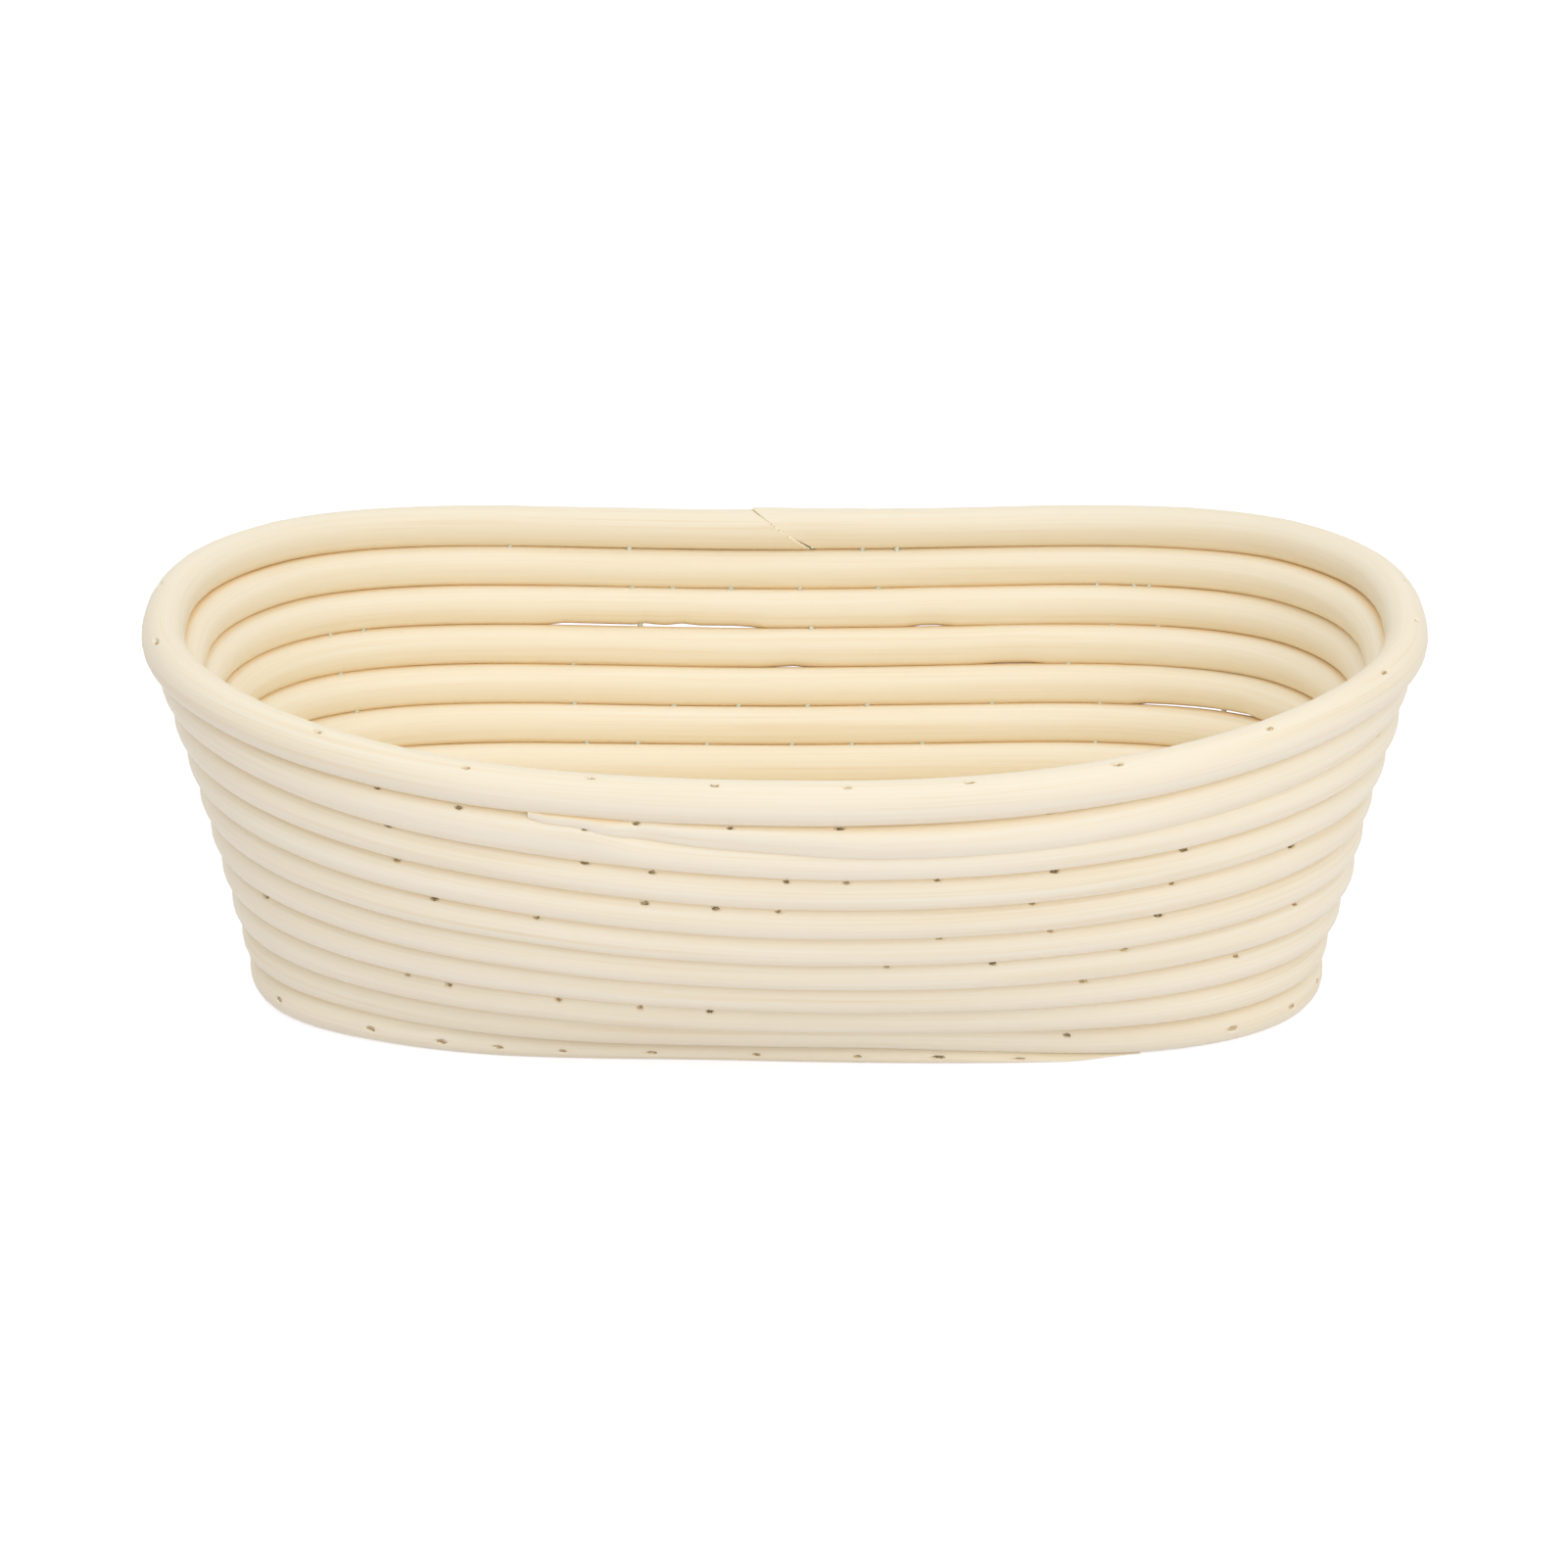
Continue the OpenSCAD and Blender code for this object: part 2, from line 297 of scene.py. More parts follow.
def makeHole(at, angle, size=1.0):
    dark = dice.random() < bradHole["darkShare"]
    return {
        "at": at,
        "angle": angle,
        "halfLength": size * dice.uniform(*bradHole["halfLength"]),
        "halfWidth": size * dice.uniform(*bradHole["halfWidth"]),
        "depth": dice.uniform(*bradHole["darkDepth" if dark else "paleDepth"]),
        "sunk": dice.uniform(*bradHole["sunk"]),
        "lip": dice.uniform(*bradHole["lip"]),
        "dark": dark,
        "mark": faceMark["torn"],
    }


def holeDepth(hole, ds, arc):
    # a short torn slot where a brad was driven in, deeper at one end, with a slightly raised lip
    d = (ds / hole["halfLength"]) ** 2 + (arc / hole["halfWidth"]) ** 2
    if d < 1:
        return -hole["depth"] * math.sqrt(1 - d**2) * (1 + ds / hole["halfLength"]) / 2
    if d < bradHole["lipReach"]:
        return hole["lip"] * math.sin(math.pi * (d - 1) / (bradHole["lipReach"] - 1))
    return 0.0


def uneven(s, shift):
    return sum(height * math.sin(s / length + share * shift) for height, length, share in caneMesh["waves"])


def caneSection(centre, axes, halfOut, halfUp, holeSide, **special):
    # what a cane is like at one place along it: round and whole unless told otherwise
    section = {
        "centre": centre, "axes": axes, "halfOut": halfOut, "halfUp": halfUp, "holeSide": holeSide,
        "grainHalf": halfUp, "shear": 0.0, "fullness": 1.0, "squareness": 2.0, "opening": 0.0, "sawn": False,
    }
    section.update(special)
    return section


def inScene(name, data):
    piece = bpy.data.objects.new(name, data)
    bpy.context.collection.objects.link(piece)
    return piece


def sweepCane(name, length, section, holes, materials, shift, extra=()):
    # section(s) describes the cane at s mm along it
    offsets = ringOffsets()
    n = len(offsets)
    points, straight, sunk, sawn, faces, marks = [], [], [], [], [], []
    places = ringPlaces(length, holes, extra)
    for s in places:
        at = section(s)
        along, out, up = at["axes"]
        q = at["squareness"]
        sawn.append(at["sawn"])
        near = [h for h in holes if abs(h["at"] - s) < bradHole["reach"]]
        for offset in offsets:
            a = at["holeSide"] + offset
            torn = sum(holeDepth(h, s - h["at"], at["halfOut"] * (a - h["angle"])) for h in near)
            sunk.append(near[0]["mark"] if torn < -bradHole["tornFrom"] else faceMark["cane"])
            grow = uneven(s, shift) * at["fullness"] + torn
            c, sn = math.cos(a), math.sin(a)
            k = 1.0 if q == 2 else (abs(c) ** q + abs(sn) ** q) ** (-1 / q)
            across = c * k * (at["halfOut"] + grow)
            above = sn * k * (at["halfUp"] + grow)
            drawn = at["opening"] * max(0.0, -above / at["halfUp"] - caneMesh["openingFrom"])
            p = at["centre"] + out * across + up * above + along * (at["shear"] * above + drawn)
            points.append((p.x * mm, p.y * mm, max(p.z, 0.0) * mm))
            # height for the grain and the painted groove shade; squared sections use the given half height
            grainAndShadeUp = above if q == 2 else sn * at["grainHalf"]
            straight.append((s + at["shear"] * above, across, grainAndShadeUp))
    for i in range(len(places) - 1):
        plain = faceMark["sawn" if sawn[i] and sawn[i + 1] else "cane"]
        for k in range(n):
            a, b = i * n + k, i * n + (k + 1) % n
            faces.append((a, a + n, b + n, b))
            torn = sunk[a] and sunk[b] and sunk[a + n] and sunk[b + n]
            marks.append(torn or plain)
    faces.append(tuple(range(n)))
    faces.append(tuple(reversed(range((len(places) - 1) * n, len(places) * n))))
    marks += [faceMark["sawn"]] * 2
    mesh = bpy.data.meshes.new(name)
    mesh.from_pydata(points, [], faces)
    for material in materials:
        mesh.materials.append(material)
    mesh.polygons.foreach_set("material_index", marks)
    mesh.polygons.foreach_set("use_smooth", [mark != faceMark["sawn"] for mark in marks])
    # the cane laid straight, so that its grain and the painted groove shade follow every bend
    grain = mesh.attributes.new("straightCane", "FLOAT_VECTOR", "POINT")
    grain.data.foreach_set("vector", [v for p in straight for v in p])
    mesh.update()
    sharp = mesh.attributes.new("sharp_edge", "BOOLEAN", "EDGE")
    for face in mesh.polygons:
        if face.material_index == faceMark["sawn"]:
            for loop in face.loop_indices:
                sharp.data[mesh.loops[loop].edge_index].value = True
    return inScene(name, mesh)


# Materials; pattern sizes in mm
def linear(hexColour):
    parts = [int(hexColour[i:i + 2], 16) / 255 for i in (1, 3, 5)]
    return tuple(c / 12.92 if c <= 0.04045 else ((c + 0.055) / 1.055) ** 2.4 for c in parts) + (1.0,)


def addNode(tree, kind, settings=None, **links):
    # settings: node properties by name, sockets by label or place
    # links: output for each socket, called by its label with _ for a space, or i and its place
    node = tree.nodes.new(kind)
    for key, value in (settings or {}).items():
        if isinstance(key, int) or key in node.inputs:
            node.inputs[key].default_value = value
        else:
            setattr(node, key, value)
    for key, output in links.items():
        byPlace = key[0] == "i" and key[1:].isdigit()
        tree.links.new(output, node.inputs[int(key[1:]) if byPlace else key.replace("_", " ")])
    return node


def setStops(ramp, places, hexColours):
    stops = ramp.color_ramp.elements
    stops[0].position, stops[0].color = places[0], linear(hexColours[0])
    stops[1].position, stops[1].color = places[-1], linear(hexColours[-1])
    for place, hexColour in zip(places[1:-1], hexColours[1:-1]):
        stops.new(place).color = linear(hexColour)


def newMaterial(name):
    material = bpy.data.materials.new(name)
    material.use_nodes = True
    material.node_tree.nodes.clear()
    return material, material.node_tree


def fibreNoise(tree, cane, width, length, detail, roughness):
    # noise drawn out along the cane
    scale = addNode(
        tree, "ShaderNodeVectorMath",
        {"operation": "MULTIPLY", 1: (1 / length, 1 / width, 1 / width)}, i0=cane.outputs["Vector"],
    )
    return addNode(
        tree, "ShaderNodeTexNoise",
        {"Scale": 1.0, "Detail": detail, "Roughness": roughness}, Vector=scale.outputs[0],
    )


# Peeled rattan core, drawn through a die and sanded: pale, dull, with long fine fibres
caneLook = {
    "wallHexes": ("#F2E1BE", "#F9EDD3", "#FBF3DF"),
    "rimHexes": ("#F0DFBE", "#F6EAD1", "#F8F0DC"),
    "toneStops": (0.3, 0.46, 0.66),
    "fibreWidth": 0.55,  # true bundles are about 0.3 and too fine to show here
    "fibreLength": 60.0,
    "fibreDetail": 3.0,
    "fibreShare": 0.5,
    "streakWidth": 2.2,
    "streakLength": 150.0,
    "streakDetail": 2.0,
    "streakShare": 0.3,
    "patchWidth": 90.0,
    "patchLength": 90.0,
    "patchDetail": 1.0,
    "patchShare": 0.2,
    "noiseRoughness": 0.6,
    "fibreBump": 0.25,
    "fibreHeight": 0.06,
    "roughness": 0.55,
    "specular": 0.35,
    # painted shade: the grooves between turns take a warmer colour, most of all inside the basket, in place
    # of the warm light bounced there
    "paintedShadeFrom": 3.4,  # above or below the middle, where the painted shade from the next turn begins
    "paintedShadeTo": 4.1,
    "paintedShadeOutside": 0.25,
    "paintedShadeInside": 0.65,
    "sideBlend": 1.0,  # each side of the middle, from the inside's share to the outside's
    "paintedGrooveShadeHex": "#FADAA2",
}


def rattanCore(name, hexColours, shaded):
    material, tree = newMaterial(name)
    look = caneLook
    rough = look["noiseRoughness"]
    cane = addNode(tree, "ShaderNodeAttribute", {"attribute_name": "straightCane"})
    fibre, streak, patch = [
        fibreNoise(tree, cane, look[kind + "Width"], look[kind + "Length"], look[kind + "Detail"], rough)
        for kind in ("fibre", "streak", "patch")
    ]
    fine = addNode(
        tree, "ShaderNodeMath", {"operation": "MULTIPLY", 1: look["fibreShare"]}, i0=fibre.outputs["Fac"],
    )
    broad = addNode(
        tree, "ShaderNodeMath", {"operation": "MULTIPLY_ADD", 1: look["streakShare"]},
        i0=streak.outputs["Fac"], i2=fine.outputs[0],
    )
    tone = addNode(
        tree, "ShaderNodeMath", {"operation": "MULTIPLY_ADD", 1: look["patchShare"]},
        i0=patch.outputs["Fac"], i2=broad.outputs[0],
    )
    ramp = addNode(tree, "ShaderNodeValToRGB", None, Fac=tone.outputs[0])
    setStops(ramp, look["toneStops"], hexColours)
    # painted shade: a warmer colour in the grooves where the next turn shades the cane, and more so inside
    # the basket, standing in for warm bounce light
    parts = addNode(tree, "ShaderNodeSeparateXYZ", None, Vector=cane.outputs["Vector"])
    offMiddle = addNode(tree, "ShaderNodeMath", {"operation": shaded, 1: -1.0}, i0=parts.outputs["Z"])
    share = addNode(
        tree, "ShaderNodeMapRange",
        {
            "From Min": -look["sideBlend"], "From Max": look["sideBlend"],
            "To Min": look["paintedShadeInside"], "To Max": look["paintedShadeOutside"],
        },
        i0=parts.outputs["Y"],
    )
    groove = addNode(
        tree, "ShaderNodeMapRange", {"From Min": look["paintedShadeFrom"], "From Max": look["paintedShadeTo"]},
        i0=offMiddle.outputs[0], i4=share.outputs[0],
    )
    paintedGrooveShade = addNode(
        tree, "ShaderNodeMix", {"data_type": "RGBA", 7: linear(look["paintedGrooveShadeHex"])},
        i0=groove.outputs[0], i6=ramp.outputs["Color"],
    )
    bump = addNode(
        tree, "ShaderNodeBump",
        {"Strength": look["fibreBump"], "Distance": look["fibreHeight"] * mm}, Height=fibre.outputs["Fac"],
    )
    shader = addNode(
        tree, "ShaderNodeBsdfPrincipled",
        {"Roughness": look["roughness"], "Specular IOR Level": look["specular"]},
        Base_Color=paintedGrooveShade.outputs[2], Normal=bump.outputs["Normal"],
    )
    addNode(tree, "ShaderNodeOutputMaterial", None, Surface=shader.outputs[0])
    return material


# the wall cane gets the painted groove shade above and below, the rim cane only below
wallCaneMaterial = rattanCore("Peeled rattan core, drawn and sanded", caneLook["wallHexes"], "ABSOLUTE")
rimCaneMaterial = rattanCore("Peeled rattan core of the rim, sanded smooth", caneLook["rimHexes"], "MULTIPLY")

# Sawn end of the cane: a dry, dull face with darker open pores
cutLook = {
    "poreSize": 0.7,  # true pores are about 0.3 and too fine to show here
    "hexes": ("#CDB384", "#F8EDD0"),
    "stops": (0.12, 0.4),
    "roughness": 0.8,
}


def cutCane(name):
    material, tree = newMaterial(name)
    cane = addNode(tree, "ShaderNodeAttribute", {"attribute_name": "straightCane"})
    pores = addNode(
        tree, "ShaderNodeTexVoronoi",
        {"Scale": 1 / cutLook["poreSize"], "feature": "F1"}, Vector=cane.outputs["Vector"],
    )
    ramp = addNode(tree, "ShaderNodeValToRGB", None, Fac=pores.outputs["Distance"])
    setStops(ramp, cutLook["stops"], cutLook["hexes"])
    shader = addNode(
        tree, "ShaderNodeBsdfPrincipled",
        {"Roughness": cutLook["roughness"]}, Base_Color=ramp.outputs["Color"],
    )
    addNode(tree, "ShaderNodeOutputMaterial", None, Surface=shader.outputs[0])
    return material


cutMaterial = cutCane("Rattan end grain, sawn")

# Split fibre in the brad holes: dry, dull threads, paler where fresh, and a dark brown set that is painted
# shade for the deep holes and the holes high up under the next turn
tornLook = {
    "threadWidth": 0.35,
    "threadLength": 1.6,
    "threadDetail": 2.0,
    "noiseRoughness": 0.5,
    "darkHexes": ("#7E6B4C", "#CDBC98"),
    "paleHexes": ("#A88A60", "#E6D4B0"),
    "stops": (0.38, 0.62),
    "roughness": 0.85,
}


def tornCane(name, hexColours):
    material, tree = newMaterial(name)
    cane = addNode(tree, "ShaderNodeAttribute", {"attribute_name": "straightCane"})
    look = tornLook
    threads = fibreNoise(
        tree, cane, look["threadWidth"], look["threadLength"], look["threadDetail"], look["noiseRoughness"],
    )
    ramp = addNode(tree, "ShaderNodeValToRGB", None, Fac=threads.outputs["Fac"])
    setStops(ramp, look["stops"], hexColours)
    shader = addNode(
        tree, "ShaderNodeBsdfPrincipled", {"Roughness": look["roughness"]}, Base_Color=ramp.outputs["Color"],
    )
    addNode(tree, "ShaderNodeOutputMaterial", None, Surface=shader.outputs[0])
    return material


# the dark set paints the shade inside the brad holes
darkTornMaterial = tornCane("Rattan fibre, split and stained by the brads", tornLook["darkHexes"])
paleTornMaterial = tornCane("Rattan fibre, freshly split by the brads", tornLook["paleHexes"])
caneMaterials = (wallCaneMaterial, cutMaterial, darkTornMaterial, paleTornMaterial)
rimMaterials = (rimCaneMaterial, cutMaterial, paleTornMaterial)  # the rim's holes all get the pale fibre and none of the painted hole shade

# Zinc-coated steel wire, sheared into brads: pale grey-green, partly the zinc's dulled film and partly a
# painted glint that keeps the shanks pale in the dark grooves
steelLook = {
    "markSize": 0.4,
    "markDetail": 2.0,
    "hexes": ("#C6C9B6", "#E4E7D8"),
    "stops": (0.35, 0.65),
    "roughness": 0.5,
    "paleGlintMetallic": 0.2,  # kept low partly for the zinc's film and partly so the painted glint does not mirror the dark groove
}


def drawnSteel(name):
    material, tree = newMaterial(name)
    place = addNode(tree, "ShaderNodeTexCoord")
    marks = addNode(
        tree, "ShaderNodeTexNoise",
        {"Scale": 1 / (steelLook["markSize"] * mm), "Detail": steelLook["markDetail"]},
        Vector=place.outputs["Object"],
    )
    ramp = addNode(tree, "ShaderNodeValToRGB", None, Fac=marks.outputs["Fac"])
    setStops(ramp, steelLook["stops"], steelLook["hexes"])
    shader = addNode(
        tree, "ShaderNodeBsdfPrincipled",
        {"Roughness": steelLook["roughness"], "Metallic": steelLook["paleGlintMetallic"]},
        Base_Color=ramp.outputs["Color"],
    )
    addNode(tree, "ShaderNodeOutputMaterial", None, Surface=shader.outputs[0])
    return material


steelMaterial = drawnSteel("Zinc-coated steel wire, drawn and sheared")
print("materials made")

# Wall cane: starts thin under its own second turn, climbs a level across the front of each turn,
# and ends in a feather under the rim. Angles in degrees clockwise from the right end.
wallCane = {
    "radius": 4.25,
    "startAngle": 53.0,
    "tipAngle": 113.0,
    "lastTurn": 9,
    "climbShare": [
        (24, 0), (38, 0.06), (52, 0.16), (62, 0.26), (72, 0.35), (81, 0.42), (90, 0.49),
        (99, 0.63), (108, 0.79), (113, 0.88), (118, 0.94), (128, 0.985), (142, 1),
    ],
    "earlyShare": [(12, 0), (30, 0.05), (44, 0.08), (56, 0.08), (68, 0.05), (80, 0.02), (92, 0)],
    "earlyTurns": (2.0, 4.0),  # none of the early climb, and all of it
    "secondTurnShare": [
        (44, 0), (53, 0.03), (60, 0.14), (65.5, 0.28), (70.6, 0.43), (80, 0.64), (90, 0.71), (99, 0.75),
        (108, 0.8), (118, 0.88), (128, 0.95), (142, 1),
    ],
    "startThickness": [
        (53, 0.05), (60, 0.15), (65.5, 0.29), (70.6, 0.42), (80, 0.54), (90, 0.57), (99, 0.6), (108, 0.65),
        (118, 0.76), (128, 0.9), (142, 1),
    ],
    "startInset": 0.6,  # share of the radius, where the start is thinnest
    "insetUntil": 0.17,  # thickness
    "tipThickness": [
        (64, 1), (81.5, 0.83), (90.3, 0.65), (97.6, 0.5), (102.5, 0.37), (105, 0.27), (106.5, 0.18),
        (107.5, 0.1), (108.6, 0.06), (110.2, 0.055), (111.2, 0.055), (112.2, 0.03), (113, 0.01),
    ],
    "tipFill": 1.6,  # how far the tip reaches up into the rim's groove
    "tipStand": 0.2,  # how far it stands proud of the turn below
    "tipFlushBy": 0.35,  # share of its thickness lost
    "tipLeastOut": 0.12,
    "tipSquare": 2.0,
    "tipSquareBy": 0.5,
    "pressFrom": 102.0,
    "pressFull": 109.0,
    "pressEnd": (122.0, 142.0),
    "pressMore": 0.3,
    "pressSquare": 0.5,
    # (turns, degrees up the cane's outside) of the brad holes
    "holeTurn": [
        (0, 22), (1.12, 22), (1.14, 54), (4, 62), (8, 68), (8.27, 66), (8.29, 54), (8.31, 54), (8.32, 66),
        (9, 69), (9.05, 88), (9.22, 86), (9.26, 70), (9.3, 62),
    ],
    # (turn, from, to, gap to the turn below)
    "slits": [
        (7, 247, 255.2, 0.62), (7, 256.4, 258.8, 0.62), (7, 259.8, 265.8, 0.62), (7, 283.8, 285.9, 0.5),
        (6, 270, 271.5, 0.45), (6, 291.3, 295.4, 0.5), (5, 309, 324, 0.6),
    ],
    "slitFade": 1.8,
    "featherRings": 0.8,
    "featherLength": 30.0,
    "waveShift": 1.7,
}


def turnAndPlace(v):
    # whole turns, and degrees round from the right end
    turn = math.floor(v / 360)
    return turn, v - 360 * turn


def wallLevel(turn, w):
    if turn == 1:
        return curveAt(wallCane["secondTurnShare"], w)
    first, full = wallCane["earlyTurns"]
    early = curveAt(wallCane["earlyShare"], w) * min(1.0, max(0.0, (turn - first) / (full - first)))
    return turn - 1 + curveAt(wallCane["climbShare"], w) + early


def wallCentre(v):
    turn, w = turnAndPlace(v)
    angle = -math.radians(w)
    if turn == 0:
        p = levelPoint(0, angle)
        return Vector((p.x, p.y, p.z * curveAt(wallCane["startThickness"], w)))
    if turn < wallCane["lastTurn"]:
        return levelPoint(wallLevel(turn, w), angle)
    return levelPoint(basketForm["topLevel"], angle)


def wallLean(v):
    turn, w = turnAndPlace(v)
    if turn == 0:
        return leanAt(0, -math.radians(w)) * curveAt(wallCane["startThickness"], w)
    return leanAt(min(wallLevel(turn, w), basketForm["topLevel"]), -math.radians(w))


wallFirst = wallCane["startAngle"]
wallLast = 360 * wallCane["lastTurn"] + wallCane["tipAngle"]
wallRows = lengthTable(wallCentre, wallFirst, wallLast, caneMesh["tableStep"])
wallLength = wallRows[-1][0]


def wallAxes(v):
    ahead, behind = min(v + caneMesh["aimStep"], wallLast), max(v - caneMesh["aimStep"], wallFirst)
    return caneAxes((wallCentre(ahead) - wallCentre(behind)).normalized(), wallLean(v))


def holeAngle(v):
    return math.radians(brokenLine(wallCane["holeTurn"], v / 360))


def pressShare(w):
    first, full = wallCane["pressFrom"], wallCane["pressFull"]
    fade, gone = wallCane["pressEnd"]
    return ease((w - first) / (full - first)) * (1 - ease((w - fade) / (gone - fade)))


def pressedUp(w):
    # the turn under the tip bulges up to the rim where the tip gives out
    gap = (basketForm["topLevel"] - wallLevel(wallCane["lastTurn"] - 1, w)) * basketForm["pitch"]
    return (gap + wallCane["pressMore"]) * pressShare(w)


def surfaceBelow(w, out, up, centre, height):
    # how far out the turn under the tip reaches at a height given in the tip's own axes
    r, half = wallCane["radius"], pressedUp(w) / 2
    away = wallCentre(360 * (wallCane["lastTurn"] - 1) + w) - centre
    rise = min(1.0, abs(height - away.dot(up) - half) / (r + half))
    square = 2 + wallCane["pressSquare"] * pressShare(w)
    return away.dot(out) + r * (1 - rise**square) ** (1 / square)


def slitAt(turn, w):
    # half the gap to the turn below
    half, fade = 0.0, wallCane["slitFade"]
    for slitTurn, first, last, gap in wallCane["slits"]:
        if turn == slitTurn:
            half += gap / 2 * ease((w - first) / fade + 1) * ease((last - w) / fade + 1)
    return half


def wallSection(s):
    v = degreesAt(wallRows, min(s, wallLength))
    turn, w = turnAndPlace(v)
    r = wallCane["radius"]
    along, out, up = wallAxes(v)
    centre = wallCentre(v)
    halfOut, halfUp, fullness, squareness = r, r, 1.0, 2.0
    if turn == 0:
        fullness = curveAt(wallCane["startThickness"], w)
        halfUp = r * fullness
        inset = r * wallCane["startInset"] * ease(1 - fullness / wallCane["insetUntil"])
        halfOut = r - inset / 2
        centre = centre - out * inset / 2
    if turn == wallCane["lastTurn"] - 1:
        half = pressedUp(w) / 2
        halfUp += half
        centre = centre + up * half
        squareness += wallCane["pressSquare"] * pressShare(w)
    if turn == wallCane["lastTurn"]:
        fullness = brokenLine(wallCane["tipThickness"], w)
        lost = 1 - fullness
        fill = wallCane["tipFill"] * lost
        halfUp = r * fullness + fill / 2
        halfOut = r * (wallCane["tipLeastOut"] + (1 - wallCane["tipLeastOut"]) * fullness)
        flush = surfaceBelow(w, out, up, centre, r - 2 * r * fullness) + wallCane["tipStand"]
        outer = r + (flush - r) * ease(lost / wallCane["tipFlushBy"])
        centre = centre + out * (outer - halfOut) + up * (r + fill - halfUp)
        squareness += wallCane["tipSquare"] * ease(lost / wallCane["tipSquareBy"])
    slit = slitAt(turn, w)
    return caneSection(
        centre + up * slit, (along, out, up), halfOut, halfUp - slit, holeAngle(v),
        fullness=fullness, squareness=squareness, grainHalf=r,
    )


# Brads that pin each turn to the one below, by turn of the wall cane; degrees round from the right end
bradPlaces = {
    "front": {
        1: (61.0, 75.5, 88.0, 118.0),
        2: (52.0, 97.8, 104.8, 112.8, 124.0, 128.6),
        3: (42.8, 60.2, 72.4, 121.0, 149.4),
        4: (34.4, 56.6, 69.6, 79.8, 118.5, 134.0),
        5: (40.0, 53.6, 64.4, 75.0, 113.6, 123.6),
        6: (37.5, 52.8, 66.6, 90.6, 96.6, 103.2, 126.8),
        7: (32.0, 52.2, 65.0, 75.8, 84.2, 89.8, 102.2, 108.4, 127.0),
        8: (22.0, 41.0, 108.0, 119.4, 127.4),
        9: (24.0, 37.0, 52.0, 66.2, 85.0, 94.8, 103.2),
    },
    # brads whose heads went in so far that the fibre closed over them
    "buried": {1: (118.0,), 2: (52.0,), 3: (72.4, 121.0), 4: (118.5, 134.0), 5: (40.0,)},
    "foot": (65.4, 73.6, 82.0, 92.8, 104.0, 113.2, 120.0, 126.2, 135.0, 151.8),
    "footEnd": (390.4, 401.8),
    "footBackAfter": 20.0,
    "rim": (7.4, 26.2, 45.0, 60.6, 73.8, 84.4, 96.0, 106.8, 117.8, 132.8, 164.6, 187.2),
    # brads that glint in the grooves inside the back
    "back": {
        4: (248.9, 254.3, 261.6, 270.8, 277.2, 284.7, 303.4),
        5: (222.1, 247.9, 258.3, 265.1, 272.4, 278.7, 291.8, 303.5),
        6: (220.4, 248.1, 299.6),
        7: (219.8, 224.6, 272.7, 303.9, 309.2),
        8: (254.7, 258.8, 264.6, 271.5, 279.4, 301.8, 305.9, 307.6),
    },
    "rimBack": (243.1, 254.9, 277.6, 280.9),
    "backFrom": 192.0,
    "backTo": 346.0,
    "backGap": 13.0,
    "shake": 2.5,
    "paleTurns": 6,  # up to this turn only the deep holes get the painted hole shade, above it every hole does
    "turnHoleSize": 0.96,
    "turnHoleShake": (-4, 2),  # round the cane
    "footHoleSize": 1.3,
    "footHoleShake": (-3, 3),
    "rimHoleSize": 1.15,
    "rimHoleShake": (-7, 7),
    "baseHoleShake": (-4, 4),
}


def shaken(kind):
    return dice.uniform(*bradPlaces[kind + "HoleShake"])


def roundTheBack(after, before):
    # even places, a little shaken, over the part of a turn that has none measured
    count = max(1, math.floor((before - after) / bradPlaces["backGap"]))
    step = (before - after) / count
    shake = bradPlaces["shake"]
    return [after + step * i + dice.uniform(-shake, shake) for i in range(1, count)]


def turnPlaces(turn):
    front = list(bradPlaces["front"][turn])
    if turn == wallCane["lastTurn"]:
        return [360 * turn + w for w in front]
    known = [bradPlaces["backFrom"], *bradPlaces["back"].get(turn, ()), bradPlaces["backTo"]]
    back = known[1:-1]
    for after, before in zip(known, known[1:]):
        back += roundTheBack(after, before)
    return [360 * turn + w for w in front + back]


wallHoles, turnBrads = [], {}
for turn in range(1, wallCane["lastTurn"] + 1):
    turnBrads[turn] = []
    for v in turnPlaces(turn):
        angle = holeAngle(v) + math.radians(shaken("turn"))
        hole = makeHole(distanceAt(wallRows, v), angle, bradPlaces["turnHoleSize"])
        if turn <= bradPlaces["paleTurns"] and not hole["dark"]:
            hole["mark"] = faceMark["paleTorn"]
        w = round(v - 360 * turn, 1)
        if w not in bradPlaces["buried"].get(turn, ()):
            wallHoles.append(hole)
        turnBrads[turn].append((hole, w in bradPlaces["back"].get(turn, ())))
footBrads = []
footPlaces = list(bradPlaces["foot"])
footPlaces += roundTheBack(footPlaces[-1] + bradPlaces["footBackAfter"], bradPlaces["footEnd"][0])
footPlaces += bradPlaces["footEnd"]
for v in footPlaces:
    angle = holeAngle(v) + math.radians(shaken("foot"))
    hole = makeHole(distanceAt(wallRows, v), angle, bradPlaces["footHoleSize"])
    hole["mark"] = faceMark["torn" if hole["dark"] else "paleTorn"]
    wallHoles.append(hole)
    footBrads.append((hole, False))

feather = wallCane["featherRings"]
featherPlaces = [wallLength - feather * i for i in range(1, round(wallCane["featherLength"] / feather))]
wallPiece = sweepCane(
    "wallCane", wallLength, wallSection, wallHoles, caneMaterials, wallCane["waveShift"], featherPlaces,
)
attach(wallPiece, "root")
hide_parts("wall_coil")
print("wall cane wound:", len(wallPiece.data.polygons), "faces")

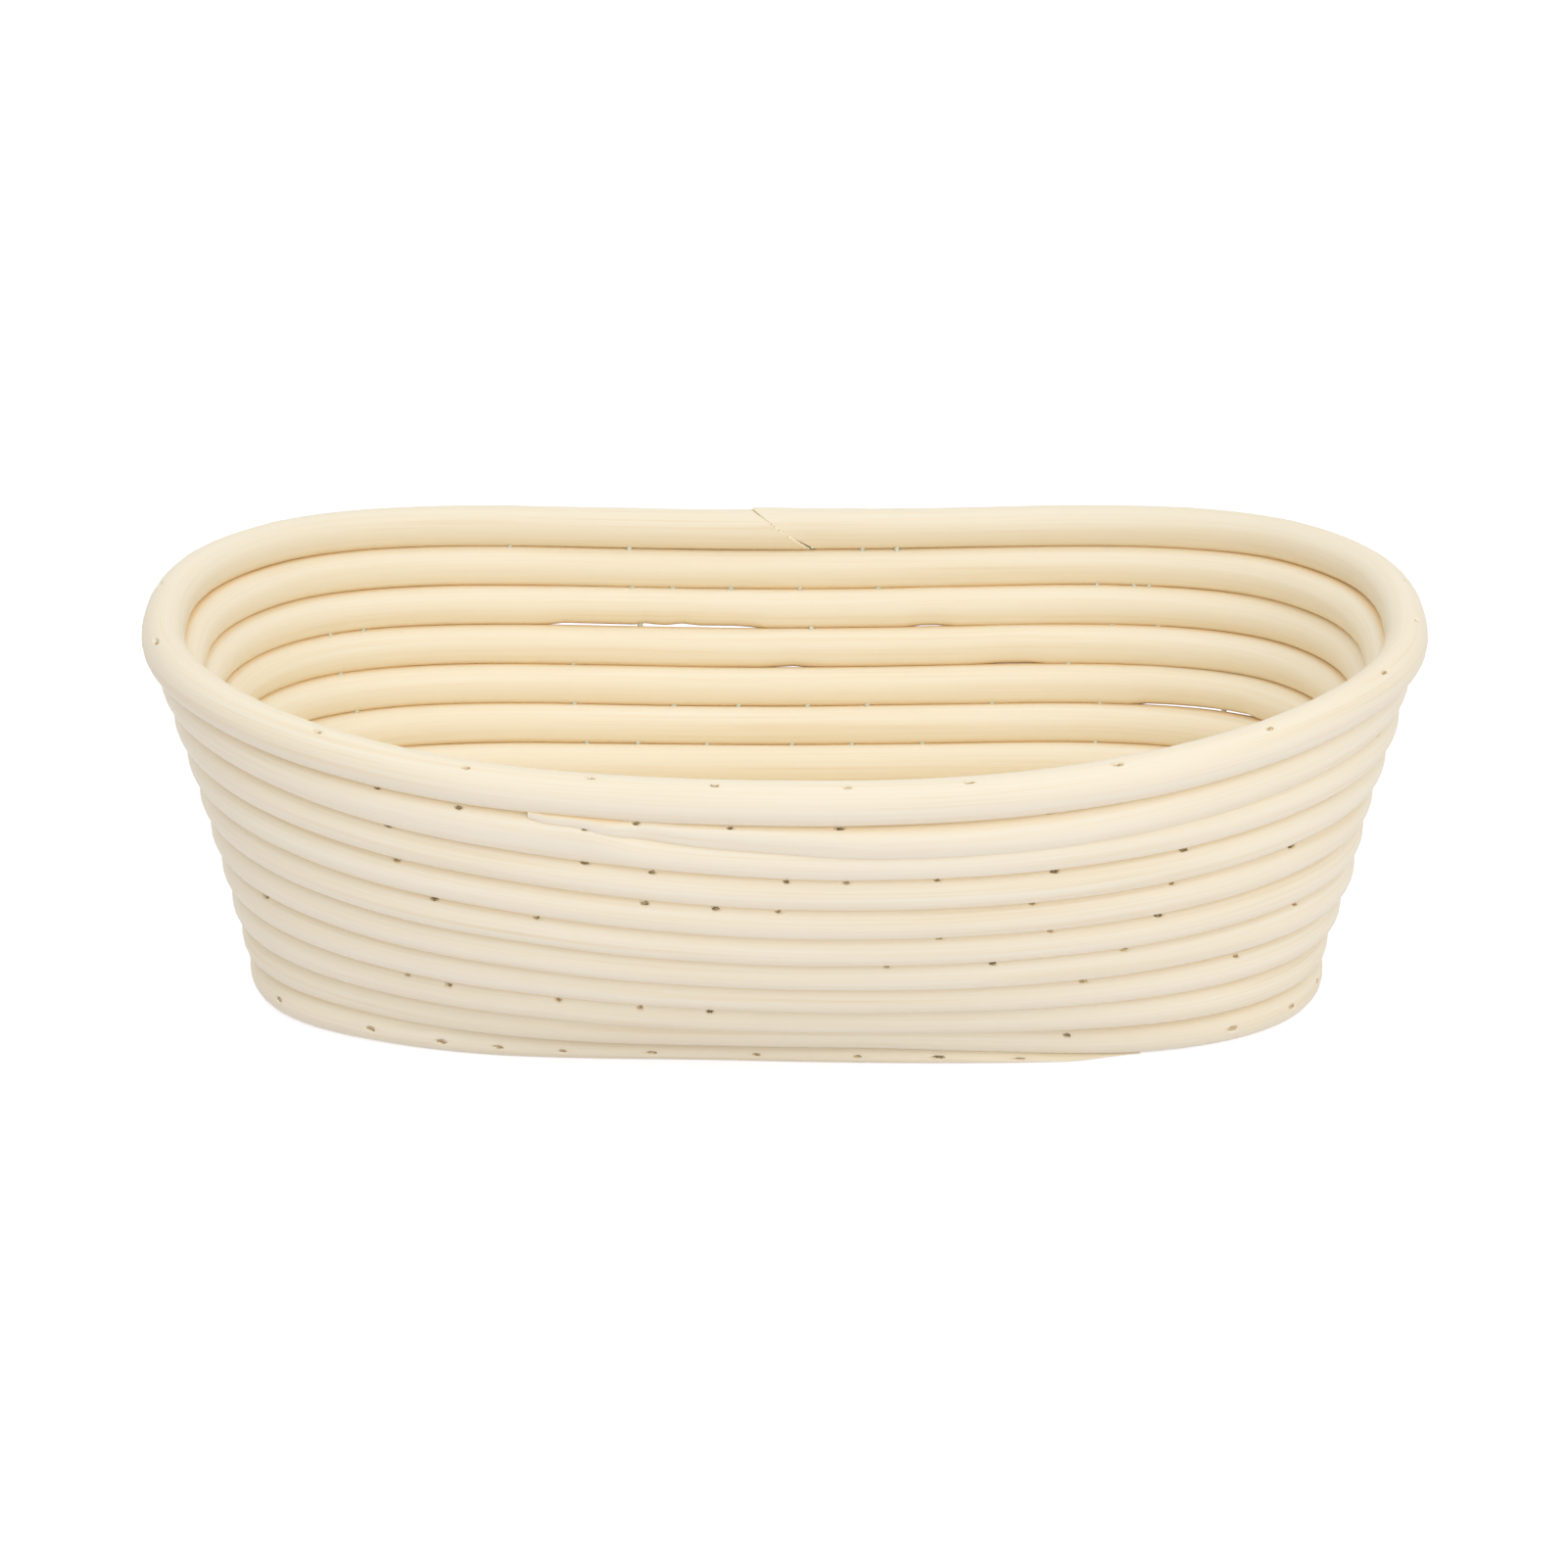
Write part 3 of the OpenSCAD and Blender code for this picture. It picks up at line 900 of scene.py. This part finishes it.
# Rim cane: one ring, its two ends cut on the slant and laid one over the other at the back
rimCane = {
    "radius": 4.2,
    "sunk": 0.18,  # into the top turn
    "jointAngle": 270.0,
    "slantLength": 12.0,
    "slantRun": 24.0,
    "lowOpening": 1.5,
    "rightEndBack": 0.25,
    "rightEndLift": 0.45,
    "endOverlap": 0.2,
    "liftRun": 22.0,
    "chamferLength": 0.7,
    "chamferDepth": 0.34,
    "holeTurn": 82.0,
    "waveShift": 4.2,
}


def rimOval(angle):
    f = basketForm
    return ovalPoint(f["rimHalfLength"], f["rimHalfWidth"], f["rimSquareness"], angle)


def standOut(p, top, angle):
    # how far the rim stands out past the top turn
    return (p - Vector((top.x, top.y, 0))).dot(ovalOutward(*levelSize(basketForm["topLevel"]), angle))


def rimCentre(v):
    angle = -math.radians(v)
    p = nudged(rimOval(angle), basketForm["topLevel"])
    top = levelPoint(basketForm["topLevel"], angle)
    pitch = rimCane["radius"] + wallCane["radius"] - rimCane["sunk"]
    return Vector((p.x, p.y, top.z + math.sqrt(pitch**2 - standOut(p, top, angle) ** 2)))


def rimLean(v):
    angle = -math.radians(v)
    top = ovalPoint(*levelSize(basketForm["topLevel"]), angle)
    return math.asin(standOut(rimOval(angle), top, angle) / (rimCane["radius"] + wallCane["radius"]))


rimRows = lengthTable(rimCentre, rimCane["jointAngle"], rimCane["jointAngle"] + 360, caneMesh["tableStep"])
rimLength = rimRows[-1][0]
chamferStart = rimLength - rimCane["chamferLength"]


def rimSection(s):
    v = degreesAt(rimRows, s)
    ahead, behind = v + caneMesh["aimStep"], v - caneMesh["aimStep"]
    along, out, up = caneAxes((rimCentre(ahead) - rimCentre(behind)).normalized(), rimLean(v))
    r = rimCane["radius"]
    toEnd = min(s, rimLength - s)
    shear = -rimCane["slantLength"] / (2 * r) * ease(1 - toEnd / rimCane["slantRun"])
    nearRightEnd = ease(1 - s / rimCane["liftRun"])
    lift = rimCane["rightEndLift"] * nearRightEnd
    slid = shear * lift / 2 - rimCane["endOverlap"] * nearRightEnd
    centre = rimCentre(v) + along * slid + up * lift / 2 + out * (rimCane["rightEndBack"] * nearRightEnd)
    cut = rimCane["chamferDepth"] * max(0.0, 1 - (rimLength - s) / rimCane["chamferLength"])
    opening = rimCane["lowOpening"] * ease(1 - s / rimCane["slantRun"])
    return caneSection(
        centre, (along, out, up), r - cut, r - cut + lift / 2, math.radians(rimCane["holeTurn"]),
        shear=shear, opening=opening, sawn=s >= chamferStart,
    )


rimHoles, rimBrads = [], []
rimPlaces = [*bradPlaces["rim"], *bradPlaces["rimBack"]]
rimPlaces += roundTheBack(bradPlaces["rim"][-1], bradPlaces["rimBack"][0])
rimPlaces += roundTheBack(bradPlaces["rimBack"][-1], 360 + bradPlaces["rim"][0])
for w in rimPlaces:
    v = w if w >= rimCane["jointAngle"] else w + 360
    angle = math.radians(rimCane["holeTurn"] + shaken("rim"))
    hole = makeHole(distanceAt(rimRows, v), angle, bradPlaces["rimHoleSize"])
    rimHoles.append(hole)
    rimBrads.append((hole, w in bradPlaces["rimBack"]))
rimPiece = sweepCane(
    "rimCane", rimLength, rimSection, rimHoles, rimMaterials, rimCane["waveShift"], [chamferStart],
)
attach(rimPiece, "root")
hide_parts("rim_ring")
print("rim cane bent:", len(rimPiece.data.polygons), "faces")

# Base cane: a flat coil round a straight core, each turn against the next and the last against
# the foot turn; its end thins out along the foot turn at the front left. Lists run by turn.
baseCane = {
    "radius": 4.08,
    "turns": 5,
    "pitch": 8.1,
    "footGap": 8.2,
    "straightHalf": [(0, 62.0), (1, 40.6), (2, 23.0), (3, 13.5), (4, 5.1)],
    "endSquareness": [(1, 3.4), (2, 3.35), (3, 3.15), (4, 3.0)],
    "endSpan": [(0, 1.0), (1, 40.0), (2, 65.0), (3, 77.0), (4, 86.0)],  # degrees taken up by a rounded end
    "frontStep": (75.0, 165.0),
    "backStep": (195.0, 345.0),
    "coreStart": 1.0,
    "coreReach": 3.3,
    "coreReachTo": 8.0,
    "tailAngle": 155.0,
    "tailShift": 0.444,
    "tailThin": 0.9,
    "tailLow": 0.45,
    "leftWiden": 0.1,
    "height": 3.7,
    "holeTurn": 0.0,
    "bradsInTurn": 9,
    "tableStep": 1.0,
    "aimStep": 1.0,
    "waveShift": 2.9,
}
lastBaseTurn = baseCane["turns"] - 1
coreHalf = basketForm["footHalfLength"] - baseCane["footGap"] - lastBaseTurn * baseCane["pitch"]
leftSpread = baseCane["turns"] / (baseCane["turns"] - 0.5)  # the left end has half a turn less to fill it


def baseSteps(v):
    # turn, how far it has moved out along the front, and along the back
    turn, w = turnAndPlace(v)
    (f0, f1), (b0, b1) = baseCane["frontStep"], baseCane["backStep"]
    return turn, ease((w - f0) / (f1 - f0)), ease((w - b0) / (b1 - b0))


def baseTurn(v):
    turn, front, back = baseSteps(v)
    if turn == lastBaseTurn:
        return turn + baseCane["tailShift"] * front
    left = (turn + 0.5) * leftSpread
    return turn + (left - turn) * front + (turn + 1 - left) * back


def basePlan(v):
    # two straight runs and two rounded ends
    t, w = baseTurn(v), v % 180
    span = curveAt(baseCane["endSpan"], t)
    straight, width = curveAt(baseCane["straightHalf"], t), t * baseCane["pitch"]
    end, square = coreHalf + width - straight, curveAt(baseCane["endSquareness"], t)
    if w < span:
        angle = math.radians(90 * w / span)
        p = ovalPoint(end, width, square, angle) + Vector((straight, 0, 0))
    elif w > 180 - span:
        angle = math.radians(180 - 90 * (180 - w) / span)
        p = ovalPoint(end, width, square, angle) - Vector((straight, 0, 0))
    else:
        p = Vector((straight * (90 - w) / (90 - span), width, 0))
    if v % 360 < 180:
        p.y = -p.y
    else:
        p.x = -p.x
    first, last = baseCane["coreStart"], baseCane["coreReachTo"]
    p.x += baseCane["coreReach"] * max(0.0, last - v) / (last - first)
    return p


def baseCentre(v):
    return nudged(basePlan(v), 0) + Vector((0, 0, baseCane["height"]))


baseFirst = baseCane["coreStart"]
baseLast = 360 * lastBaseTurn + baseCane["tailAngle"]
baseRows = lengthTable(baseCentre, baseFirst, baseLast, baseCane["tableStep"])
baseLength = baseRows[-1][0]


def baseAxes(v):
    ahead, behind = min(v + baseCane["aimStep"], baseLast), max(v - baseCane["aimStep"], baseFirst)
    return caneAxes((baseCentre(ahead) - baseCentre(behind)).normalized(), 0.0)


def baseSection(s):
    v = degreesAt(baseRows, min(s, baseLength))
    turn, front, back = baseSteps(v)
    r = baseCane["radius"]
    tail = front if turn == lastBaseTurn else 0.0
    atLeft = front * (1 - back) if 0 < turn < lastBaseTurn else 0.0
    thin = 1 - baseCane["tailThin"] * tail
    low = r * baseCane["tailLow"] * tail
    return caneSection(
        baseCentre(v) - Vector((0, 0, low)), baseAxes(v), r * thin * (1 + baseCane["leftWiden"] * atLeft),
        r - low, math.radians(baseCane["holeTurn"]), fullness=thin,
    )


baseHoles, baseBrads = [], []
for turn in range(1, lastBaseTurn):
    for i in range(baseCane["bradsInTurn"]):
        v = 360 * (turn + (i + (turn % 2) / 2) / baseCane["bradsInTurn"])
        angle = math.radians(baseCane["holeTurn"] + shaken("base"))
        hole = makeHole(distanceAt(baseRows, v), angle)
        baseHoles.append(hole)
        baseBrads.append((hole, False))
basePiece = sweepCane("baseCane", baseLength, baseSection, baseHoles, caneMaterials, baseCane["waveShift"])
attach(basePiece, "root")
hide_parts("base_coil")
print("base cane coiled:", len(basePiece.data.polygons), "faces")

# Brads: flat-headed wire, the head sunk in its hole and the shank leaning into the next turn
bradShape = {
    "headLength": 1.8,
    "headWidth": 0.8,
    "headThick": 0.5,
    "headBevel": 0.12,
    "shankRadius": 0.55,
    "length": 11.5,
    "pointLength": 1.4,
    "pointShare": 0.25,  # of the shank's radius
    "sides": 10,
    "shownReach": 1.55,  # where the shank crosses into the next turn, in from the cane's middle
    "hiddenReach": 0.3,
    "reachShake": 0.15,
    "groundGap": 0.8,
}


def addShell(points, faces, rings):
    # rings of points joined to one another and closed at both ends
    n, start = len(rings[0]), len(points)
    for ring in rings:
        points += ring
    faces.append([start + i for i in range(n)])
    for first in range(start, len(points) - n, n):
        for i in range(n):
            j = (i + 1) % n
            faces.append([first + i, first + n + i, first + n + j, first + j])
    faces.append([len(points) - n + i for i in reversed(range(n))])


def addBrad(points, faces, head, along, inward, length):
    # a bevelled head block and a pointed shank, as closed shells
    b = bradShape
    side = inward.cross(along).normalized()
    flat = side.cross(inward).normalized()
    block, shank = [], []
    for depth, inset in ((0, b["headBevel"]), (b["headBevel"], 0), (b["headThick"], 0)):
        x, y = b["headLength"] / 2 - inset, b["headWidth"] / 2 - inset
        corners = ((-x, -y), (x, -y), (x, y), (-x, y))
        block.append([head + flat * cx + side * cy + inward * depth for cx, cy in corners])
    addShell(points, faces, block)
    angles = [2 * math.pi * i / b["sides"] for i in range(b["sides"])]
    spokes = [flat * math.cos(a) + side * math.sin(a) for a in angles]
    tapers = ((b["headThick"] / 2, 1.0), (length - b["pointLength"], 1.0), (length, b["pointShare"]))
    for depth, share in tapers:
        shank.append([head + spoke * b["shankRadius"] * share + inward * depth for spoke in spokes])
    addShell(points, faces, shank)


def bradRow(name, node, brads, section, level=False):
    # level brads go straight through the cane, the others lean down into the turn below
    points, faces = [], []
    for hole, shows in brads:
        at = section(hole["at"])
        along, out, up = at["axes"]
        c, s = math.cos(hole["angle"]), math.sin(hole["angle"])
        surface = at["centre"] + out * c * at["halfOut"] + up * s * at["halfUp"]
        head = surface - (out * c + up * s) * hole["sunk"]
        reach = bradShape["shownReach" if shows else "hiddenReach"]
        reach += dice.uniform(-bradShape["reachShake"], bradShape["reachShake"])
        seat = at["centre"] - up * at["halfUp"] - out * reach
        if level:
            seat = at["centre"] - Vector((out.x, out.y, 0)).normalized() * at["halfOut"]
        inward = (seat - head).normalized()
        length = bradShape["length"]
        if inward.z < 0:
            length = min(length, (bradShape["groundGap"] - head.z) / inward.z)
        addBrad(points, faces, head, along, inward, length)
    mesh = bpy.data.meshes.new(name)
    mesh.from_pydata([tuple(p * mm) for p in points], [], faces)
    mesh.materials.append(steelMaterial)
    mesh.update()
    piece = inScene(name, mesh)
    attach(piece, "root")
    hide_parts(node)


for turn in range(1, wallCane["lastTurn"]):
    bradRow("turnBrads%d" % turn, "turn_brads_%d" % turn, turnBrads[turn], wallSection)
bradRow("topTurnBrads", "turn_brads_top", turnBrads[wallCane["lastTurn"]], wallSection)
bradRow("footBrads", "foot_brads", footBrads, wallSection, True)
bradRow("rimBrads", "rim_brads", rimBrads, rimSection)
bradRow("baseBrads", "base_brads", baseBrads, baseSection, True)
print("brads driven")

# Stage: a pale paper floor, three soft lamps, and a white surround that is weaker low down at the sides.
# Sizes and places in metres.
stageLook = {
    "floorHalf": 3.0,
    "floorDrop": 0.0002,
    "floorHex": "#D1D0DA",
    "floorRoughness": 0.9,
    "floorSpecular": 0.1,
    "floorGlow": 0.18,
    "floorLift": 0.42,  # more glow where the camera sees it, which makes the background white
    "surround": 0.69,
    "leftLoss": 0.6,
    "rightLoss": 0.3,
    "lossBelow": 0.45,
    "topPower": 5.4,
    "topSize": 2.2,
    "topPlace": (-0.22, -0.1, 1.5),
    "keyPower": 9.2,
    "keySize": 1.6,
    "keyPlace": (0.55, -1.45, 1.1),
    "fillPower": 0.7,
    "fillSize": 1.4,
    "fillPlace": (0.2, -1.7, 0.4),
    "lampAim": (0, 0, 0.04),
}


def seenDirectly(tree):
    path = addNode(tree, "ShaderNodeLightPath")
    return addNode(
        tree, "ShaderNodeMath", {"operation": "MAXIMUM"},
        i0=path.outputs["Is Camera Ray"], i1=path.outputs["Is Glossy Ray"],
    )


half = stageLook["floorHalf"]
floorMesh = bpy.data.meshes.new("paperFloor")
floorMesh.from_pydata(
    [(-half, -half, 0), (half, -half, 0), (half, half, 0), (-half, half, 0)], [], [(0, 1, 2, 3)],
)
floor = inScene("paperFloor", floorMesh)
floor.location.z = -stageLook["floorDrop"]
# Matt white paper, rolled: even and without shine
floorMaterial, tree = newMaterial("Matt white paper, rolled")
seen = seenDirectly(tree)
lift = addNode(
    tree, "ShaderNodeMath",
    {"operation": "MULTIPLY_ADD", 1: stageLook["floorLift"], 2: stageLook["floorGlow"]}, i0=seen.outputs[0],
)
paper = addNode(
    tree, "ShaderNodeBsdfPrincipled",
    {
        "Base Color": linear(stageLook["floorHex"]), "Roughness": stageLook["floorRoughness"],
        "Specular IOR Level": stageLook["floorSpecular"], "Emission Color": (1, 1, 1, 1),
    },
    Emission_Strength=lift.outputs[0],
)
addNode(tree, "ShaderNodeOutputMaterial", None, Surface=paper.outputs[0])
floorMesh.materials.append(floorMaterial)

world = bpy.data.worlds.new("studioSurround")
bpy.context.scene.world = world
world.use_nodes = True
tree = world.node_tree
tree.nodes.clear()
seen = seenDirectly(tree)
sky = addNode(tree, "ShaderNodeTexCoord")
sides = addNode(tree, "ShaderNodeSeparateXYZ", None, Vector=sky.outputs["Generated"])
leftSide = addNode(
    tree, "ShaderNodeMapRange",
    {"From Min": -1.0, "From Max": 0.0, "To Min": stageLook["leftLoss"], "To Max": 0.0},
    i0=sides.outputs["X"],
)
rightSide = addNode(
    tree, "ShaderNodeMapRange",
    {"From Min": 0.0, "From Max": 1.0, "To Min": 0.0, "To Max": stageLook["rightLoss"]},
    i0=sides.outputs["X"],
)
lowDown = addNode(
    tree, "ShaderNodeMapRange",
    {"From Min": 0.0, "From Max": stageLook["lossBelow"], "To Min": 1.0, "To Max": 0.0},
    i0=sides.outputs["Z"],
)
bothSides = addNode(
    tree, "ShaderNodeMath", {"operation": "ADD"}, i0=leftSide.outputs[0], i1=rightSide.outputs[0],
)
loss = addNode(
    tree, "ShaderNodeMath", {"operation": "MULTIPLY"}, i0=bothSides.outputs[0], i1=lowDown.outputs[0],
)
lightLeft = addNode(
    tree, "ShaderNodeMath", {"operation": "SUBTRACT", 0: stageLook["surround"]}, i1=loss.outputs[0],
)
strength = addNode(
    tree, "ShaderNodeMix", {"data_type": "FLOAT", 3: 1.0}, i0=seen.outputs[0], i2=lightLeft.outputs[0],
)
glow = addNode(tree, "ShaderNodeBackground", {"Color": (1, 1, 1, 1)}, Strength=strength.outputs[0])
addNode(tree, "ShaderNodeOutputWorld", None, Surface=glow.outputs[0])

for kind in ("key", "top", "fill"):
    lamp = bpy.data.lights.new(kind + "Lamp", "AREA")
    lamp.energy = stageLook[kind + "Power"]
    lamp.shape = "DISK"
    lamp.size = stageLook[kind + "Size"]
    holder = inScene(kind + "Lamp", lamp)
    place = Vector(stageLook[kind + "Place"])
    holder.location = place
    holder.rotation_euler = (Vector(stageLook["lampAim"]) - place).to_track_quat("-Z", "Y").to_euler()

# Camera: from the front, looking down a little; degrees, metres, and mm for lens and sensor
cameraView = {
    "elevation": 22.0,
    "distance": 1.271,
    "aim": (-0.00015, 0.0, 0.0405),
    "lens": 148.05,
    "sensor": 36.0,
}
cameraData = bpy.data.cameras.new("frontCamera")
cameraData.lens = cameraView["lens"]
cameraData.sensor_width = cameraView["sensor"]
camera = inScene("frontCamera", cameraData)
tilt = math.radians(cameraView["elevation"])
aim = Vector(cameraView["aim"])
camera.location = aim + Vector((0, -math.cos(tilt), math.sin(tilt))) * cameraView["distance"]
camera.rotation_euler = (aim - camera.location).to_track_quat("-Z", "Y").to_euler()
bpy.context.scene.camera = camera
bpy.context.scene.view_settings.view_transform = "Standard"
print("stage set")
